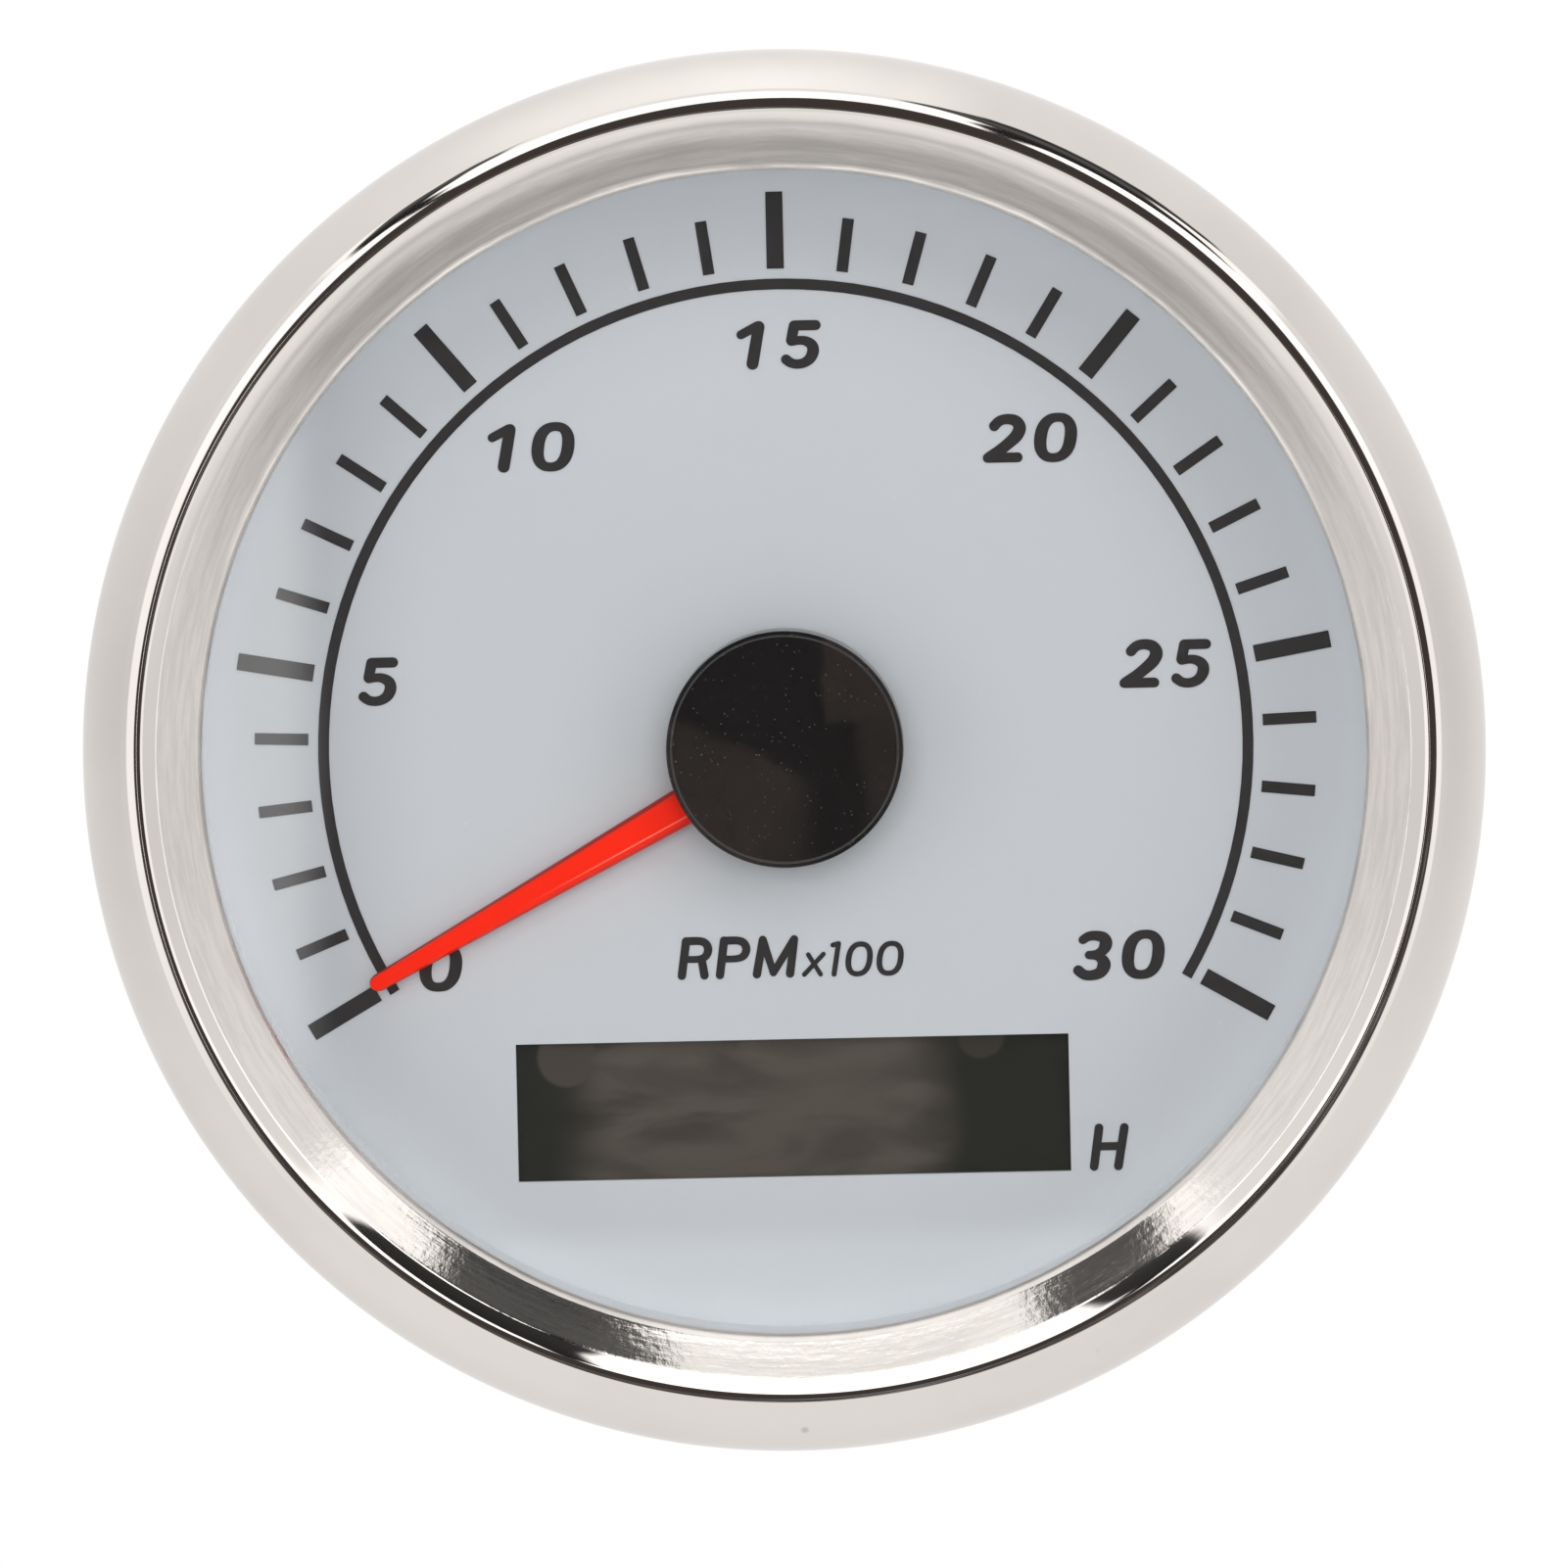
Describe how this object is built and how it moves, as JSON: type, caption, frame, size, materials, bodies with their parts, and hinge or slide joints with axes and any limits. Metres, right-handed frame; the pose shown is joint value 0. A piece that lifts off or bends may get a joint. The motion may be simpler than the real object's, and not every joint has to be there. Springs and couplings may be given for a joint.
{
  "type": "boat tachometer",
  "caption": "Round panel-mounted boat tachometer with a steel bezel, light grey dial, red pointer and hour display, and a threaded case with ring nut, plug socket and setting button.",
  "frame": {"origin": "on the gauge's axis, in the plane where the rear of the panel gasket meets the front of the panel", "axes": "-Y is the way the dial faces, +Y runs along the axis to the rear, +Z is the top of the dial, +X is to the right as the dial is read"},
  "size_m": [0.096, 0.0502, 0.096],
  "materials": {
    "bezel_steel": "finely turned stainless steel, polished on the outer face",
    "lens_glass": "clear flat glass",
    "seal_rubber": "moulded rubber",
    "spacer_plastic": "moulded, satin",
    "case_plastic": "fine moulded texture",
    "nut_plastic": "fine moulded texture",
    "dial_paint": "matt light grey paint with a fine grain",
    "dial_ink": "printed, matt",
    "guide_plastic": "clear moulded",
    "white_plastic": "white, satin",
    "display_glass": "dark reflective display glass",
    "tinned_steel": "tinned",
    "board_laminate": "green lacquered laminate",
    "screw_steel": "zinc plated",
    "lamp_plastic": "white chip with a yellow lens",
    "chip_plastic": "moulded",
    "capacitor_aluminium": "sleeveless can",
    "resistor_ceramic": "glazed top",
    "header_plastic": "moulded",
    "contact_brass": "gold flashed",
    "motor_white_plastic": "moulded",
    "motor_black_plastic": "moulded",
    "stator_steel": "stamped",
    "bobbin_plastic": "moulded",
    "winding_copper": "enamelled copper wire",
    "magnet_ferrite": "ground",
    "pinion_brass": "hobbed",
    "gear_plastic": "acetal",
    "spindle_steel": "ground",
    "pointer_plastic": "satin red with moulded bevels",
    "cap_plastic": "polished black",
    "weight_brass": "turned",
    "button_plastic": "fine moulded texture",
    "stem_plastic": "acetal",
    "plunger_plastic": "moulded"
  },
  "bodies": {
    "case": {"bezel": "bezel_steel", "lens": "lens_glass", "lens_gasket": "seal_rubber", "dial_spacer": "spacer_plastic", "panel_gasket": "seal_rubber", "case": "case_plastic", "dial_plate": "dial_paint", "dial_marks": "dial_ink", "light_guide": "guide_plastic", "light_box": "white_plastic", "lcd_glass": "display_glass", "lcd_frame": "white_plastic", "lcd_pins": "tinned_steel", "circuit_board": "board_laminate", "board_screws": "screw_steel", "lamp_chips": "lamp_plastic", "controller_chip": "chip_plastic", "power_capacitor": "capacitor_aluminium", "voltage_regulator": "chip_plastic", "chip_resistors": "resistor_ceramic", "contact_header": "header_plastic", "contact_pins": "contact_brass", "motor_front_shell": "motor_white_plastic", "motor_rear_shell": "motor_black_plastic", "motor_stator": "stator_steel", "motor_bobbins": "bobbin_plastic", "motor_coils": "winding_copper", "motor_pins": "tinned_steel", "button_seal": "seal_rubber", "button_switch": "chip_plastic"},
    "pointer": {"pointer_arm": "pointer_plastic", "pointer_cap": "cap_plastic", "balance_weight": "weight_brass", "spindle": "spindle_steel", "output_wheel": "gear_plastic"},
    "idler": {"idler_wheel": "gear_plastic"},
    "rotor": {"rotor_magnet": "magnet_ferrite", "rotor_pinion": "pinion_brass"},
    "button": {"button_knob": "button_plastic", "button_stem": "stem_plastic", "switch_plunger": "plunger_plastic"},
    "ring_nut": {"ring_nut": "nut_plastic"}
  },
  "joints": [
    {"name": "pointer_turn", "type": "hinge", "parent": "case", "child": "pointer", "pos_m": [0, 0, 0], "axis": [0, 1, 0], "range_deg": [-1.1, 238.9]},
    {"name": "idler_turn", "type": "hinge", "parent": "case", "child": "idler", "pos_m": [0, 0, 0.00832], "axis": [0, 1, 0], "range_deg": [-2880, 24]},
    {"name": "rotor_turn", "type": "hinge", "parent": "case", "child": "rotor", "pos_m": [0.00768, 0, 0.00832], "axis": [0, 1, 0], "range_deg": [-270, 43020]},
    {"name": "button_press", "type": "slide", "parent": "case", "child": "button", "axis": [0, -1, 0], "range_m": [0, 0.001], "stiffness_N_per_m": 1200, "springref_m": -0.0005},
    {"name": "ring_nut_run", "type": "slide", "parent": "case", "child": "ring_nut", "axis": [0, 1, 0], "range_m": [-0.0065, 0.036]}
  ],
  "couplings": [
    {"joint": "idler_turn", "follows": "pointer_turn", "ratio": -12},
    {"joint": "rotor_turn", "follows": "pointer_turn", "ratio": 180}
  ]
}
